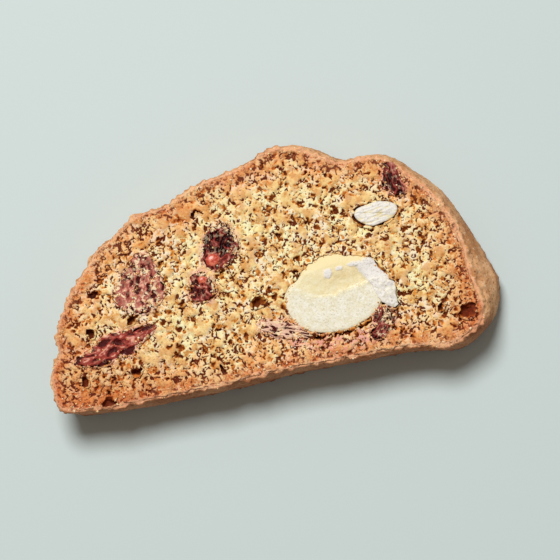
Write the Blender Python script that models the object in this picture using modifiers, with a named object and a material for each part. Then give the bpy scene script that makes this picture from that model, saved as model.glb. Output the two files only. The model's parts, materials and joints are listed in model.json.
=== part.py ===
"""Biscotto: one slice cut on the bias from a twice-baked almond and cranberry log.

The slice lies on one cut face with the other one up.  +X runs along the foot of the slice, which was
the log's flat underside, +Y points to the domed crust, and +Z is the thickness.  The origin is the
middle of the slice's box, on the surface it rests on.  All sizes are in metres.

The knife crossed the log at a slant, so the crust leans: the lower cut face sits further along +X
than the upper one, and a strip of crust looks up beside the right end.
"""

import math

import bmesh
import bpy
import numpy as np
from mathutils import Matrix, Vector

# --- The slice ---------------------------------------------------------------------------------
THICKNESS = 0.0130
LEFT_REACH = 0.0447  # from the middle of the dome to the left end of the upper cut face
RIGHT_REACH = 0.0428
MIDDLE_X = -0.0020  # the middle of the dome, along the foot
WIDEST_Y = 0.0055  # height above the foot where the slice is longest
DOME_HEIGHT = 0.0365  # from there to the top of the plain dome
DOME_POWER_LEFT = 1.92  # 2 is an ellipse, more is squarer
DOME_POWER_RIGHT = 3.0
FOOT_POWER = 5.0
OUTLINE_POINTS = 168

# Lumps and dents of the upper outline: where, how far they push outwards, and how far they reach.
OUTLINE_LUMPS = (
    ((0.0075, 0.0420), 0.0033, 0.0074),  # the risen crown
    ((0.0275, 0.0390), 0.0016, 0.0045),  # the shoulder right of it
    ((0.0190, 0.0410), -0.0009, 0.0040),  # the dip between them
    ((-0.0170, 0.0395), -0.0013, 0.0050),  # the dip left of the crown
    ((-0.0240, 0.0370), 0.0006, 0.0040),
    ((-0.0320, 0.0320), 0.0006, 0.0030),
    ((-0.0455, 0.0137), -0.0015, 0.0021),  # the nick in the left end
    ((0.0400, 0.0135), -0.0009, 0.0045),  # the waist of the right end
    ((0.0330, 0.0000), 0.0018, 0.0060),  # where the foot sags
    ((0.0010, 0.0000), -0.0004, 0.0100),  # the foot's slight arch
)

# --- The crust between the two cut faces -------------------------------------------------------
BIAS_SHIFT = 0.0028  # how far the crust would lean along +X in all
BELLY = 0.0004  # the crust bulges a little between the faces
# The right end spreads on top of the lean: where, how far along +X, and over what reach.
END_SWELLS = (
    ((0.0405, 0.0112), 0.0040, 0.0068),  # the end of the log spread as it baked
    ((0.0405, -0.0005), -0.0018, 0.0042),  # its foot stayed back
)
# Each ring of the crust: its depth below the upper face, how far the rim is drawn in there, and its
# share of the lean.
CRUST_RINGS = (
    (0.0000, 0.0007, 0.00),
    (0.0002, 0.0003, 0.03),
    (0.0007, 0.0000, 0.10),
    (0.0030, 0.0000, 0.42),
    (0.0060, 0.0000, 0.72),
    (0.0090, 0.0000, 0.86),
    (0.0116, 0.0000, 0.86),
    (0.0126, 0.0005, 0.82),
    (0.0130, 0.0012, 0.78),
)

# --- What is baked into it ---------------------------------------------------------------------
# The knife cut through the nuts and berries, so each is known by the outline of its cut surface, as
# corners in millimetres about its middle, and by how deep it reaches into the crumb.
MM = 0.001
GAP = 0.0003  # between a nut or a berry and its socket in the crumb
CUT_RECESS = 0.0001  # how far a sliced nut or berry stays below the crumb
SOCKET_ABOVE = 0.0010  # how far a cutter reaches above the face
NUGGET_POINTS = 26
NUT_POINTS = 44
NUGGET_RINGS = 5

BERRY_RED = (0.19, 0.045, 0.035)
BERRY_DARK = (0.060, 0.018, 0.020)
ALMOND_CREAM = (0.80, 0.72, 0.52)

BERRIES = {
    "cranberry_low_left": dict(
        at=(-0.0325, 0.0122), depth=0.0034, colour=BERRY_RED,
        corners=((9.0, 2.0), (7.7, 3.0), (6.1, 2.6), (4.3, 2.1), (2.3, 2.4), (0.2, 2.4), (-1.8, 2.0),
                 (-3.1, 1.2), (-5.0, -0.2), (-6.7, -0.6), (-8.0, -0.7), (-8.2, -1.6), (-6.6, -2.1),
                 (-4.9, -2.7), (-2.9, -2.8), (-0.8, -2.3), (1.1, -1.6), (2.9, -1.7), (4.2, -0.2),
                 (5.7, 0.7), (7.5, 1.4)),
    ),
    "cranberry_left": dict(
        at=(-0.0251, 0.0231), depth=0.0040, colour=BERRY_RED,
        corners=((2.6, 5.8), (1.4, 6.4), (-0.1, 5.3), (-1.7, 3.6), (-3.3, 2.0), (-4.9, 0.2), (-5.2, -1.8),
                 (-4.2, -3.5), (-2.3, -4.6), (0.4, -5.3), (2.9, -3.5), (4.6, -2.2), (4.2, -0.6),
                 (3.8, 1.2), (3.3, 3.7)),
    ),
    "cranberry_crown": dict(
        at=(-0.0080, 0.0275), depth=0.0038, colour=BERRY_DARK,
        corners=((0.8, 4.5), (-0.9, 3.7), (-2.2, 2.1), (-3.2, 0.1), (-3.4, -1.5), (-3.3, -3.1),
                 (-2.2, -4.1), (-0.8, -4.0), (0.7, -3.1), (2.3, -2.1), (3.7, -1.1), (3.4, 0.6), (3.2, 2.4),
                 (2.4, 4.0)),
    ),
    "cranberry_middle": dict(
        at=(-0.0130, 0.0205), depth=0.0033, colour=BERRY_RED,
        corners=((0.5, 2.9), (-0.6, 2.7), (-1.8, 2.0), (-1.8, 0.7), (-2.4, -0.9), (-2.4, -2.3),
                 (-0.6, -2.6), (1.1, -2.8), (2.2, -1.6), (2.1, 0.4), (1.5, 1.9)),
    ),
    "cranberry_shoulder": dict(
        at=(0.0289, 0.0339), depth=0.0026, colour=BERRY_DARK,
        corners=((-0.6, 3.3), (-1.2, 2.8), (-1.2, 1.7), (-1.7, 0.2), (-1.9, -1.1), (-0.8, -1.7),
                 (-0.1, -2.8), (0.9, -3.4), (1.8, -2.7), (1.6, -1.6), (1.1, -0.2), (1.2, 1.4), (0.7, 2.7)),
    ),
    "cranberry_by_almond": dict(
        at=(0.0210, 0.0061), depth=0.0030, colour=BERRY_DARK,
        corners=((0.3, 2.8), (-0.4, 2.6), (-1.0, 1.6), (-1.3, 0.5), (-1.6, -0.8), (-2.6, -1.8),
                 (-2.6, -2.9), (-1.1, -2.8), (0.4, -1.8), (1.4, -0.6), (2.3, 0.4), (1.9, 1.4), (1.1, 2.2)),
    ),
    "cranberry_low_middle": dict(
        at=(0.0014, 0.0086), depth=0.0020, colour=BERRY_RED,
        corners=((-5.0, 1.7), (-4.1, 0.6), (-2.4, -0.2), (-0.3, -0.9), (1.5, -1.9), (3.7, -2.4),
                 (4.8, -2.1), (3.9, -1.3), (2.1, 0.2), (0.2, 1.3), (-2.4, 1.9), (-4.3, 2.5)),
    ),
}

ALMOND_LARGE = dict(
    at=(0.0130, 0.0137), depth=0.0046, colour=ALMOND_CREAM,
    corners=((10.7, 0.6), (10.3, 2.4), (8.9, 4.4), (7.2, 5.8), (4.4, 6.8), (1.4, 7.3), (-1.3, 7.4),
             (-3.7, 6.7), (-5.5, 5.4), (-7.8, 3.8), (-9.2, 2.6), (-9.9, 0.4), (-10.0, -1.4), (-9.5, -3.3),
             (-8.3, -5.1), (-6.5, -6.4), (-4.4, -7.1), (-2.2, -7.2), (0.1, -7.3), (2.2, -6.9), (4.4, -6.2),
             (6.3, -5.3), (7.6, -4.0), (8.6, -2.4), (10.0, -0.8)),
)
ALMOND_SMALL = dict(
    at=(0.0239, 0.0277), depth=0.0030, colour=ALMOND_CREAM,
    corners=((4.6, 0.2), (4.1, 1.2), (2.4, 1.9), (0.2, 2.1), (-2.1, 2.1), (-3.8, 1.7), (-4.4, 0.9),
             (-4.2, -0.1), (-3.2, -1.3), (-1.6, -2.2), (0.5, -2.3), (2.6, -1.8), (3.9, -0.9)),
)

# The upper half of the large almond broke away along its seam and left a shallow bed.
ALMOND_BED = dict(
    at=(0.0127, 0.0159), depth=0.0010,
    corners=((7.1, -1.3), (6.7, 0.0), (6.0, 1.4), (4.9, 2.2), (3.0, 2.6), (1.6, 2.7), (0.2, 2.6),
             (-1.3, 2.8), (-3.2, 2.3), (-5.3, 1.2), (-6.7, 0.1), (-7.2, -0.9), (-6.1, -1.8), (-4.9, -2.5),
             (-3.6, -2.6), (-1.9, -2.3), (1.0, -2.2), (4.3, -1.9)),
)

# The flake that split off the large almond's right end, as the corners of its upper face.
FLAKE_CORNERS = (
    (0.0198, 0.0146),
    (0.0209, 0.0149),
    (0.0218, 0.0148),
    (0.0238, 0.0141),
    (0.0246, 0.0131),
    (0.0242, 0.0115),
    (0.0244, 0.0100),
    (0.0247, 0.0093),
    (0.0237, 0.0087),
    (0.0225, 0.0093),
    (0.0217, 0.0101),
    (0.0212, 0.0112),
    (0.0205, 0.0131),
)
FLAKE_DEPTH = 0.0020
FLAKE_EDGE = 0.0002

# Open bubbles over 2 mm across in the upper cut face: middle, half length, half width, turn.
BUBBLES = (
    ((-0.0028, 0.0150), 0.0015, 0.0011, 10.0),
    ((-0.0367, 0.0158), 0.0012, 0.0008, 100.0),
    ((-0.0280, 0.0170), 0.0015, 0.0009, 35.0),
    ((-0.0292, 0.0066), 0.0012, 0.0008, 0.0),
    ((-0.0398, 0.0066), 0.0012, 0.0007, 110.0),
    ((0.0380, 0.0048), 0.0019, 0.0016, 20.0),
    ((-0.0358, 0.0015), 0.0016, 0.0009, 10.0),
    ((0.0330, 0.0066), 0.0010, 0.0007, 50.0),
)
BUBBLE_DEPTH = 0.0019
BUBBLE_CORNERS = 9

CRUST_BROWN = (0.52, 0.27, 0.10)


def clear_scene():
    for old in list(bpy.data.objects):
        bpy.data.objects.remove(old, do_unlink=True)


def collection(name, helper=False):
    made = bpy.data.collections.new(name)
    made.hide_render = helper
    bpy.context.scene.collection.children.link(made)
    return made


def material(name, colour, roughness):
    made = bpy.data.materials.new(name)
    made.use_nodes = True
    shader = made.node_tree.nodes["Principled BSDF"]
    shader.inputs["Base Color"].default_value = (*colour, 1.0)
    shader.inputs["Roughness"].default_value = roughness
    shader.inputs["Metallic"].default_value = 0.0
    return made


def push(point, where, reach):
    """1 at a lump's centre, falling smoothly to 0 past its reach."""
    return math.exp(-((point - Vector(where)).length / reach) ** 2)


def superellipse(turn):
    """A point of the plain outline: a dome over a foot, each a quarter superellipse on each side."""
    angle = math.tau * turn
    across, up = math.cos(angle), math.sin(angle)
    if up >= 0.0:
        power = DOME_POWER_RIGHT if across >= 0.0 else DOME_POWER_LEFT
        height = DOME_HEIGHT
    else:
        power = FOOT_POWER
        height = WIDEST_Y
    reach = RIGHT_REACH if across >= 0.0 else LEFT_REACH
    x = math.copysign(reach * abs(across) ** (2.0 / power), across)
    y = math.copysign(height * abs(up) ** (2.0 / power), up)
    return Vector((MIDDLE_X + x, WIDEST_Y + y))


def even_steps(points, count):
    """The same closed outline as count points with equal steps between them."""
    loop = np.array([*points, points[0]])
    along = np.concatenate(([0.0], np.cumsum(np.linalg.norm(np.diff(loop, axis=0), axis=1))))
    marks = np.linspace(0.0, along[-1], count, endpoint=False)
    xs = np.interp(marks, along, loop[:, 0])
    ys = np.interp(marks, along, loop[:, 1])
    return [Vector((x, y)) for x, y in zip(xs, ys)]


def outward(points):
    """The outward direction at each point of a counterclockwise outline."""
    found = []
    for index, point in enumerate(points):
        along = points[(index + 1) % len(points)] - points[index - 1]
        found.append(Vector((along.y, -along.x)).normalized())
    return found


def face_outline():
    """The upper cut face's outline, with its lumps, in even steps."""
    samples = 8 * OUTLINE_POINTS
    plain = even_steps([superellipse(i / samples) for i in range(samples)], samples)
    lumpy = []
    for point, away in zip(plain, outward(plain)):
        rise = sum(height * push(point, where, reach) for where, height, reach in OUTLINE_LUMPS)
        lumpy.append(point + away * rise)
    return even_steps(lumpy, OUTLINE_POINTS)


def crust_rings():
    """The rings of the crust from the upper face down, each a list of points."""
    outline = face_outline()
    away = outward(outline)
    rings = []
    for depth, draw_in, lean in CRUST_RINGS:
        bulge = BELLY * math.sin(math.pi * depth / THICKNESS) - draw_in
        ring = []
        for point, direction in zip(outline, away):
            swell = sum(spread * push(point, where, reach) for where, spread, reach in END_SWELLS)
            flat = point + direction * bulge + Vector(((BIAS_SHIFT + swell) * lean, 0.0))
            ring.append(Vector((flat.x, flat.y, THICKNESS - depth)))
        rings.append(ring)
    return rings


def box_middle(rings):
    """The middle of the slice's box on the ground, which becomes the origin."""
    points = np.array([point for ring in rings for point in ring])
    low, high = points.min(axis=0), points.max(axis=0)
    return Vector(((low[0] + high[0]) / 2.0, (low[1] + high[1]) / 2.0, 0.0))


def mesh_object(name, shape, group, look=None):
    mesh = bpy.data.meshes.new(name)
    shape.to_mesh(mesh)
    shape.free()
    made = bpy.data.objects.new(name, mesh)
    group.objects.link(made)
    if look is None:
        made.hide_render = True
        made.display_type = "WIRE"
    else:
        mesh.materials.append(look)
        mesh.shade_smooth()
        mesh.set_sharp_from_angle(angle=math.radians(35.0))
    return made


def loft(rings, origin):
    """A closed body through the rings, with a flat face over the first and the last."""
    shape = bmesh.new()
    loops = [[shape.verts.new(point - origin) for point in ring] for ring in rings]
    for upper, lower in zip(loops, loops[1:]):
        for index in range(len(upper)):
            after = (index + 1) % len(upper)
            shape.faces.new((upper[index], lower[index], lower[after], upper[after]))
    shape.faces.new(loops[0])
    shape.faces.new(list(reversed(loops[-1])))
    bmesh.ops.recalc_face_normals(shape, faces=shape.faces)
    return shape


def rounded(corners, count):
    """A closed outline with its corners rounded off, as count points."""
    points = [Vector(corner) * MM for corner in corners]
    for _ in range(2):
        ends = zip(points, points[1:] + points[:1])
        points = [point for a, b in ends for point in (a.lerp(b, 0.25), a.lerp(b, 0.75))]
    return even_steps(points, count)


def nugget(at, corners, depth, origin, grow=0.0, sliced=True, count=NUGGET_POINTS):
    """A nut or berry: its outline in the upper face, rounding off below like a bowl.

    A socket is the same shape grown on all sides and carried on above the face.
    """
    loop = rounded(corners, count)
    loop = [point + away * grow for point, away in zip(loop, outward(loop))]
    sections = [(1.0, -CUT_RECESS if sliced else SOCKET_ABOVE)]
    for step in range(0 if not sliced else 1, NUGGET_RINGS):
        turn = 0.5 * math.pi * step / NUGGET_RINGS
        sections.append((math.cos(turn), -math.sin(turn) * (depth + grow)))
    middle = Vector(at)
    rings = []
    for size, rise in sections:
        flat = [middle + point * size for point in loop]
        rings.append([Vector((point.x, point.y, THICKNESS + rise)) for point in flat])
    return loft(rings, origin)


def flake(origin, grow=0.0, above=0.0):
    """The split-off flake: a wedge-cornered plate, grown on all sides for its socket."""
    corners = [Vector(corner) for corner in FLAKE_CORNERS]
    middle = sum(corners, Vector((0.0, 0.0))) / len(corners)
    shape = bmesh.new()
    rim = []
    for corner in corners:
        spread = corner + (corner - middle).normalized() * grow * 1.3
        rim.append(shape.verts.new(Vector((*spread, THICKNESS - CUT_RECESS + above)) - origin))
    top = shape.faces.new(rim)
    made = bmesh.ops.extrude_face_region(shape, geom=[top])
    lower = [item for item in made["geom"] if isinstance(item, bmesh.types.BMVert)]
    bmesh.ops.translate(shape, verts=lower, vec=(0.0, 0.0, -FLAKE_DEPTH - grow - above))
    bmesh.ops.recalc_face_normals(shape, faces=shape.faces)
    return shape


def bubble(at, half_length, half_width, turn, origin):
    """A burst bubble: an uneven oval hole."""
    spin = Matrix.Rotation(math.radians(turn), 2)
    corners = []
    for number in range(BUBBLE_CORNERS):
        angle = math.tau * number / BUBBLE_CORNERS
        swell = 1.0 + 0.16 * math.sin(3.0 * angle + turn)
        corner = Vector((half_length * math.cos(angle), half_width * math.sin(angle))) * swell
        corners.append(spin @ corner / MM)
    return nugget(at, corners, BUBBLE_DEPTH, origin, sliced=False, count=16)


def cut(target, name, cutters):
    """Subtracts every object of a collection."""
    step = target.modifiers.new(name, "BOOLEAN")
    step.operation = "DIFFERENCE"
    step.solver = "EXACT"
    step.operand_type = "COLLECTION"
    step.collection = cutters


def build():
    clear_scene()
    parts = collection("biscotto")
    sockets = collection("sockets", helper=True)
    almond_cuts = collection("almond_cuts", helper=True)

    rings = crust_rings()
    origin = box_middle(rings)
    slice_body = mesh_object(
        "baked_slice", loft(rings, origin), parts, material("crust", CRUST_BROWN, 0.85)
    )

    nuts = {"almond_large": ALMOND_LARGE, "almond_small": ALMOND_SMALL}
    placed = {}
    for name, spec in {**nuts, **BERRIES}.items():
        form = {key: value for key, value in spec.items() if key != "colour"}
        form["count"] = NUT_POINTS if name == "almond_large" else NUGGET_POINTS
        look = material(name, spec["colour"], 0.6 if name in nuts else 0.35)
        placed[name] = mesh_object(name, nugget(origin=origin, **form), parts, look)
        socket = nugget(origin=origin, grow=GAP, sliced=False, **form)
        mesh_object(f"{name}_socket", socket, sockets)

    chip = mesh_object("almond_flake", flake(origin), parts, material("flake", ALMOND_CREAM, 0.6))
    soften = chip.modifiers.new("worn edge", "BEVEL")
    soften.width = FLAKE_EDGE
    soften.segments = 2
    for group in (sockets, almond_cuts):
        mesh_object(f"{group.name}_flake", flake(origin, grow=GAP, above=SOCKET_ABOVE), group)
    bed = nugget(origin=origin, sliced=False, **ALMOND_BED)
    mesh_object("almond_bed", bed, almond_cuts)
    for number, (at, half_length, half_width, turn) in enumerate(BUBBLES):
        mesh_object(f"bubble_{number}", bubble(at, half_length, half_width, turn, origin), sockets)

    cut(slice_body, "sockets", sockets)
    cut(placed["almond_large"], "broken half and flake", almond_cuts)


build()
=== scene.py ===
# %% [markdown]
# # A slice of biscotti
#
# Biscotti dough is baked as a log, cut across at a slant while it is warm, and baked again on its cut
# faces.  One slice therefore shows two very different surfaces: the cut faces, where the knife opened
# thousands of small bubbles, and the crust around them, which is closed and smooth.
#
# This notebook keeps the slice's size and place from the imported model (the frame) and makes the
# surfaces: first the crumb, then the almonds, the cranberries and the loose crumbs.

# %% Load the frame
import json
import math

import bmesh
import bpy
import numpy as np
from mathutils import Matrix, Vector, noise

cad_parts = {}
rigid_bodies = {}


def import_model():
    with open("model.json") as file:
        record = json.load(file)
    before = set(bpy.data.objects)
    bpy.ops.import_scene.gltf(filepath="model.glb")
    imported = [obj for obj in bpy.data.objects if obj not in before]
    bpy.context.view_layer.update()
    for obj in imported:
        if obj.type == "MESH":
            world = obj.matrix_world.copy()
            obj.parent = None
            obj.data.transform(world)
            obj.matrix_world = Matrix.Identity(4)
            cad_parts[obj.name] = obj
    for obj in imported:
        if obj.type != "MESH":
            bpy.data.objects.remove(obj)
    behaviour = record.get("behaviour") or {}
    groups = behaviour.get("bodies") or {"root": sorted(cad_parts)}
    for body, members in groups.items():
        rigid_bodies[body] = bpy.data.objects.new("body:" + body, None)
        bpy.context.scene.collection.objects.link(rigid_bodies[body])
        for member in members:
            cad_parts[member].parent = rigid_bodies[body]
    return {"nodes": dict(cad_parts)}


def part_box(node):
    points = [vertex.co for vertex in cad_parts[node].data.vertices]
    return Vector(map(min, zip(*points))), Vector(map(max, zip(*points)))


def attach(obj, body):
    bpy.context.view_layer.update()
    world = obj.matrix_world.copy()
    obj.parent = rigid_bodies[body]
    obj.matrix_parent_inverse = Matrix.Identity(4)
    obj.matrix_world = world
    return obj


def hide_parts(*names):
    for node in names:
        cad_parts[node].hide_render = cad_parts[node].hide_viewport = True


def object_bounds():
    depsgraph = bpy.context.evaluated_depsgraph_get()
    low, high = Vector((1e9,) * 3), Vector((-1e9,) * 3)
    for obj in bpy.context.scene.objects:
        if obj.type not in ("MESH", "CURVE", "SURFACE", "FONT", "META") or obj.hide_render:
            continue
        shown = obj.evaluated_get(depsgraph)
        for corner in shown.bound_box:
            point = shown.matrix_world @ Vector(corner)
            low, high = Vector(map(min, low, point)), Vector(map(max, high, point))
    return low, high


for old in list(bpy.data.objects):
    bpy.data.objects.remove(old, do_unlink=True)
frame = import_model()
cad_low, cad_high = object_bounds()
MM = 0.001
scene = bpy.context.scene
print("slice in mm:", [round(side / MM, 1) for side in cad_high - cad_low])

# %% [markdown]
# ## Places on the slice
#
# The nuts and berries were placed in the solid model, where each ends in the flat surface that the
# knife cut.  The corners of that surface, read round its middle, give the outline that the finished
# piece has to fill.  The large almond's surface is broken by its bed and by the flake.  Below them its
# rings are whole again, each a copy of the outline, shrunk by the cosine of its turn down the bowl.

# %% Read the places
FACE = cad_high.z
BERRIES = (
    "cranberry_low_left",
    "cranberry_left",
    "cranberry_crown",
    "cranberry_middle",
    "cranberry_shoulder",
    "cranberry_by_almond",
    "cranberry_low_middle",
)


LOWEST_TURN = 72.0  # how far down its bowl a solid's lowest ring of corners is, in degrees
ALMOND_TURN = 36.0  # the first ring of the large almond that nothing breaks
SAME_LEVEL = 0.02 * MM


def corner_places(mesh, number=float):
    """The places of a mesh's corners, one row for each."""
    places = np.empty(len(mesh.vertices) * 3, number)
    mesh.vertices.foreach_get("co", places)
    return places.reshape(-1, 3)


def cut_outline(name):
    """The outline of a node's cut surface: its middle, and its corners about it, counterclockwise."""
    turn = ALMOND_TURN if name == "almond_large" else 0.0
    points = corner_places(frame["nodes"][name].data)
    depth = (FACE - points[:, 2].min()) / math.sin(math.radians(LOWEST_TURN))
    level = FACE - depth * math.sin(math.radians(turn)) if turn else points[:, 2].max()
    ring = points[abs(points[:, 2] - level) < SAME_LEVEL]
    flat = np.unique(np.round(ring[:, :2], 7), axis=0)
    middle = flat.mean(axis=0)
    away = (flat - middle) / math.cos(math.radians(turn))
    return middle, away[np.argsort(np.arctan2(away[:, 1], away[:, 0]))]


for node_name in (*BERRIES, "almond_large", "almond_small", "almond_flake"):
    middle, outline = cut_outline(node_name)
    print(node_name, "corners:", len(outline), "size in mm:", np.round(np.ptp(outline, axis=0) / MM, 1))
slice_low, slice_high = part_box("baked_slice")

# %% [markdown]
# ## The camera
#
# It looks almost straight down on the cut face, tipped a little towards the foot so that a thin strip
# of the foot's crust shows, and turned so that the foot rises to the right.

# %% Camera
def as_object(name, data):
    """A new object in the scene."""
    made = bpy.data.objects.new(name, data)
    scene.collection.objects.link(made)
    return made


VIEW_WIDTH = 112.0 * MM  # what the frame spans at the height of the cut face
VIEW_DISTANCE = 0.60
VIEW_TIP = math.radians(6.5)
VIEW_ROLL = math.radians(12.0)

aim = Vector((2.6 * MM, -3.4 * MM, FACE))
camera_data = bpy.data.cameras.new("camera")
camera_data.sensor_width = 36.0
camera_data.lens = 18.0 / (VIEW_WIDTH / 2.0 / VIEW_DISTANCE)
camera_data.clip_start = 0.05
camera_data.clip_end = 10.0
camera = as_object("camera", camera_data)
up_in_view = Vector((math.sin(VIEW_ROLL), math.cos(VIEW_ROLL), 0.0))
back = Vector((0.0, 0.0, math.cos(VIEW_TIP))) - up_in_view * math.sin(VIEW_TIP)
right_in_view = up_in_view.cross(back).normalized()
turned = Matrix((right_in_view, back.cross(right_in_view).normalized(), back)).transposed()
camera.matrix_world = Matrix.Translation(aim + back * VIEW_DISTANCE) @ turned.to_4x4()
scene.camera = camera
print("lens in mm:", round(camera_data.lens))

# %% [markdown]
# ## Light and floor
#
# One large soft lamp stands beyond the dome, so the light rakes over the crumb and throws the foot's
# soft shadow towards the viewer.  A pale even sky fills the shadows.

# %% Light and floor
LAMP_POWER = 26.5
SKY_STRENGTH = 0.21

scene.view_settings.view_transform = "Standard"
world = bpy.data.worlds.new("studio sky")
scene.world = world
world.use_nodes = True
sky = world.node_tree.nodes["Background"].inputs
sky["Color"].default_value = (1.0, 0.90, 0.79, 1.0)
sky["Strength"].default_value = SKY_STRENGTH

lamp_data = bpy.data.lights.new("key", "AREA")
lamp_data.shape = "DISK"
lamp_data.size = 0.66  # metres: wide enough for a soft edge to the shadow
lamp_data.energy = LAMP_POWER
lamp_data.color = (0.985, 1.0, 1.01)
lamp = as_object("key", lamp_data)
lamp.location = (-0.20, 0.74, 1.56)
lamp.rotation_euler = (-lamp.location).to_track_quat("-Z", "Y").to_euler()

floor_shape = bmesh.new()
bmesh.ops.create_grid(floor_shape, x_segments=1, y_segments=1, size=2.0)
floor_mesh = bpy.data.meshes.new("floor")
floor_shape.to_mesh(floor_mesh)
floor_shape.free()
floor = as_object("floor", floor_mesh)
floor_look = bpy.data.materials.new("pale floor")
floor_look.use_nodes = True
floor_shader = floor_look.node_tree.nodes["Principled BSDF"]
floor_shader.inputs["Base Color"].default_value = (0.590, 0.674, 0.660, 1.0)
floor_shader.inputs["Roughness"].default_value = 0.55
floor_mesh.materials.append(floor_look)
print("lamp above the floor in m:", round(lamp.location.z, 2), "and its width in m:", lamp_data.size)

# %% [markdown]
# ## Writing node trees as sums
#
# Both geometry and shader trees are full of small sums.  Wrapping a socket in a class whose + - * /
# add Math nodes keeps a formula readable as a formula, and the tree it makes is an ordinary one.


# %% A socket that does arithmetic
class Field:
    """A node's output, with operators that add the Math node they stand for."""

    def __init__(self, tree, socket):
        self.tree = tree
        self.socket = socket

    def calc(self, operation, *others):
        node = self.tree.nodes.new("ShaderNodeMath")
        node.operation = operation
        for slot, value in zip(node.inputs, (self, *others)):
            feed(self.tree, slot, value)
        return Field(self.tree, node.outputs[0])

    def __add__(self, other):
        return self.calc("ADD", other)

    def __sub__(self, other):
        return self.calc("SUBTRACT", other)

    def __mul__(self, other):
        return self.calc("MULTIPLY", other)

    def __truediv__(self, other):
        return self.calc("DIVIDE", other)

    def over(self, other):
        return self.calc("MAXIMUM", other)

    def under(self, other):
        return self.calc("MINIMUM", other)

    def root(self):
        return self.over(0.0).calc("SQRT")

    def ramp(self, start, end, low=0.0, high=1.0):
        """Moves smoothly from low to high while the value goes from start to end."""
        node = self.tree.nodes.new("ShaderNodeMapRange")
        node.interpolation_type = "SMOOTHSTEP"
        for slot, value in zip(node.inputs, (self, start, end, low, high)):
            feed(self.tree, slot, value)
        return Field(self.tree, node.outputs["Result"])

# %% [markdown]
# The helpers that go with the class add a node and wire it in one line, so that a tree reads from top to
# bottom like the recipe that it is.


# %% Adding and wiring nodes
def feed(tree, slot, value):
    """Links a field or a socket to an input, or sets the input to a plain value."""
    if isinstance(value, Field):
        tree.links.new(value.socket, slot)
    elif isinstance(value, bpy.types.NodeSocket):
        tree.links.new(value, slot)
    else:
        slot.default_value = value


def put(tree, kind, inputs=None, **settings):
    """Adds a node with its settings and its inputs by name."""
    node = tree.nodes.new(kind)
    for key, value in settings.items():
        setattr(node, key, value)
    for name, value in (inputs or {}).items():
        feed(tree, node.inputs[name], value)
    return node


def vector(tree, operation, *terms):
    """A Vector Math node's output: its value where it has one, else its vector."""
    node = put(tree, "ShaderNodeVectorMath", operation=operation)
    if operation == "SCALE":
        feed(tree, node.inputs[0], terms[0])
        feed(tree, node.inputs["Scale"], terms[1])
        return node.outputs["Vector"]
    for slot, value in zip(node.inputs, terms):
        feed(tree, slot, value)
    if operation == "DOT_PRODUCT":
        return Field(tree, node.outputs["Value"])
    return node.outputs["Vector"]


def split(tree, source):
    """A vector's x, y and z."""
    node = put(tree, "ShaderNodeSeparateXYZ", {"Vector": source})
    return [Field(tree, socket) for socket in node.outputs]


print("node helpers:", [helper.__name__ for helper in (feed, put, vector, split)])

# %% [markdown]
# Two textures do nearly all the work, clouds and cells.  Each is given the size of its lumps or cells in
# metres, because sizes can be checked against a real slice and scales can't.


# %% Textures and trees
def noise_node(tree, place, size, detail=2.0, **more):
    """A noise texture with lumps of about the given size.  Another W makes another cloud."""
    dimensions = "4D" if "W" in more else "3D"
    inputs = {"Vector": place, "Scale": 1.0 / size, "Detail": detail, **more}
    return put(tree, "ShaderNodeTexNoise", inputs, noise_dimensions=dimensions)


def noise_at(tree, place, size, detail=2.0, **more):
    return Field(tree, noise_node(tree, place, size, detail, **more).outputs["Fac"])


def voronoi(tree, place, size, feature):
    """A 3-D Voronoi texture, whose cells are about the given size."""
    inputs = {"Vector": place, "Scale": 1.0 / size, "Randomness": 1.0}
    return put(tree, "ShaderNodeTexVoronoi", inputs, voronoi_dimensions="3D", feature=feature).outputs


def shaken_by(tree, cloud_node, reach):
    """A small random shift, read from a noise texture's colour."""
    centred = vector(tree, "SUBTRACT", cloud_node.outputs["Color"], (0.5,) * 3)
    return vector(tree, "SCALE", centred, reach)


def new_tree(name, inputs, outputs=("Geometry",), kind="GeometryNodeTree"):
    """A node group.  An input is given as a number, which is its default, or as a type of socket."""
    tree = bpy.data.node_groups.new(name, kind)
    for label, given in inputs.items():
        sort = given if isinstance(given, str) else "Float"
        made = tree.interface.new_socket(label, in_out="INPUT", socket_type="NodeSocket" + sort)
        if sort == "Float":
            made.default_value = given
    for label in outputs:
        sort = "Geometry" if label == "Geometry" else "Float"
        tree.interface.new_socket(label, in_out="OUTPUT", socket_type="NodeSocket" + sort)
    return tree


def end_tree(tree, geometry, look):
    """Ends a geometry tree: instances are made real and get their material."""
    solid = put(tree, "GeometryNodeRealizeInstances", {"Geometry": geometry}).outputs["Geometry"]
    dressed = put(tree, "GeometryNodeSetMaterial", {"Geometry": solid, "Material": look})
    put(tree, "NodeGroupOutput", {"Geometry": dressed.outputs["Geometry"]})
    return tree


print("texture helpers:", [helper.__name__ for helper in (noise_at, voronoi, shaken_by)])

# %% [markdown]
# ## The crumb
#
# On the real slice the knife laid bare a foam: round bubbles of many sizes, so that a flat face is
# left with bowls in it.  Modelling each bubble as a Boolean would take hours.  Instead the face is a
# fine net of points, and each point is dropped straight down onto the bubble that it lies in.
#
# A 3-D Voronoi texture hands every point its nearest bubble's middle.  With a radius r for the bubble,
# a distance d to its middle and a height h over it, the wall below the point is
# h + sqrt(r^2 - d^2 + h^2) deep.  Because the middles lie at all heights, one radius gives wide bowls
# and pinholes alike, just as a knife through foam does.
#
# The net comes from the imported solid, voxel-remeshed, so that the sockets of the nuts stay open.


# %% The net that the bubbles are pressed into
NET_STEP = 0.13 * MM


def settle(piece, modifier):
    """Runs a modifier once, keeps only the mesh it makes, and takes the modifier away."""
    graph = bpy.context.evaluated_depsgraph_get()
    made = bpy.data.meshes.new_from_object(piece.evaluated_get(graph))
    made.name = piece.name
    piece.modifiers.remove(modifier)
    piece.data = made


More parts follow.
